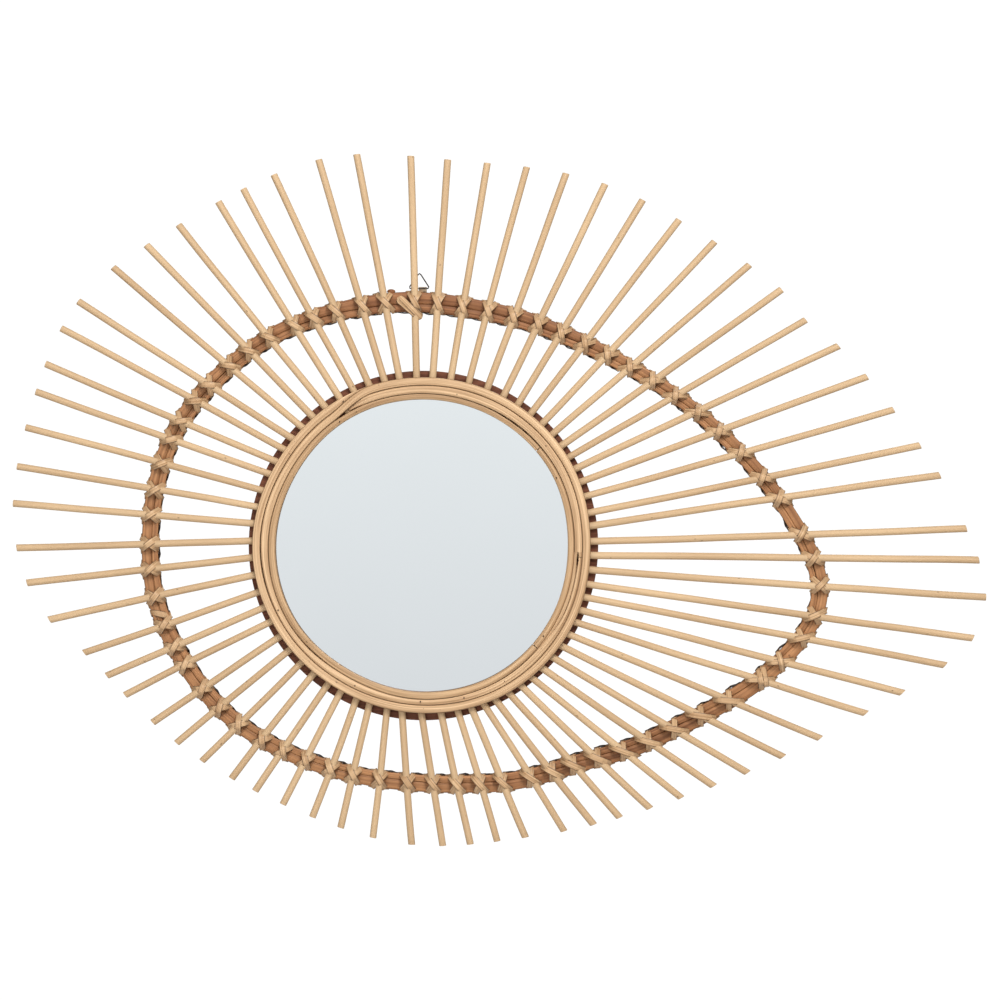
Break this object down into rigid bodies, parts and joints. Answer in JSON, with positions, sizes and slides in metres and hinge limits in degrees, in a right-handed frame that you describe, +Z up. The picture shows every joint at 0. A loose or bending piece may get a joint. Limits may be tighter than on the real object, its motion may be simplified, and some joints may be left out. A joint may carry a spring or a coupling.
{
  "type": "wall mirror",
  "caption": "Round wall mirror in a cane ring, with a fan of cane sticks bound across an egg-shaped hoop, hung by a wire triangle.",
  "frame": {"origin": "where the hanger wire bears on its hook, in the plane of the wall", "axes": "+Z up, +X to the right as seen from the front, +Y into the wall; the glass faces -Y"},
  "size_m": [0.8369, 0.022, 0.5952],
  "materials": {
    "pale_cane": "bare peeled rattan core, satin",
    "brown_cane": "brown rattan, satin",
    "stained_board": "dark stained board, matt",
    "silvered_glass": "polished silvered glass",
    "dark_wire": "dark steel wire",
    "strap_metal": "plated sheet steel, satin"
  },
  "bodies": {
    "root": {"backing_disc": "stained_board", "mirror_glass": "silvered_glass", "frame_cane_inner": "pale_cane", "frame_cane_middle": "pale_cane", "frame_cane_outer": "pale_cane", "hoop_cane_outer": "brown_cane", "hoop_cane_inner": "brown_cane", "hanger_wire": "dark_wire", "hanger_strap": "strap_metal", "stick_pair_01": "pale_cane", "stick_pair_02": "pale_cane", "stick_pair_03": "pale_cane", "stick_pair_04": "pale_cane", "stick_pair_05": "pale_cane", "stick_pair_06": "pale_cane", "stick_pair_07": "pale_cane", "stick_pair_08": "pale_cane", "stick_pair_09": "pale_cane", "stick_pair_10": "pale_cane", "stick_pair_11": "pale_cane", "stick_pair_12": "pale_cane", "stick_pair_13": "pale_cane", "stick_pair_14": "pale_cane", "stick_pair_15": "pale_cane", "stick_pair_16": "pale_cane", "stick_pair_17": "pale_cane", "stick_pair_18": "pale_cane", "stick_pair_19": "pale_cane", "stick_pair_20": "pale_cane", "stick_pair_21": "pale_cane", "stick_pair_22": "pale_cane", "stick_pair_23": "pale_cane", "stick_pair_24": "pale_cane", "stick_pair_25": "pale_cane", "stick_pair_26": "pale_cane", "stick_pair_27": "pale_cane", "stick_pair_28": "pale_cane", "stick_pair_29": "pale_cane", "stick_pair_30": "pale_cane", "stick_pair_31": "pale_cane", "stick_pair_32": "pale_cane", "stick_pair_33": "pale_cane", "stick_pair_34": "pale_cane"}
  },
  "joints": []
}
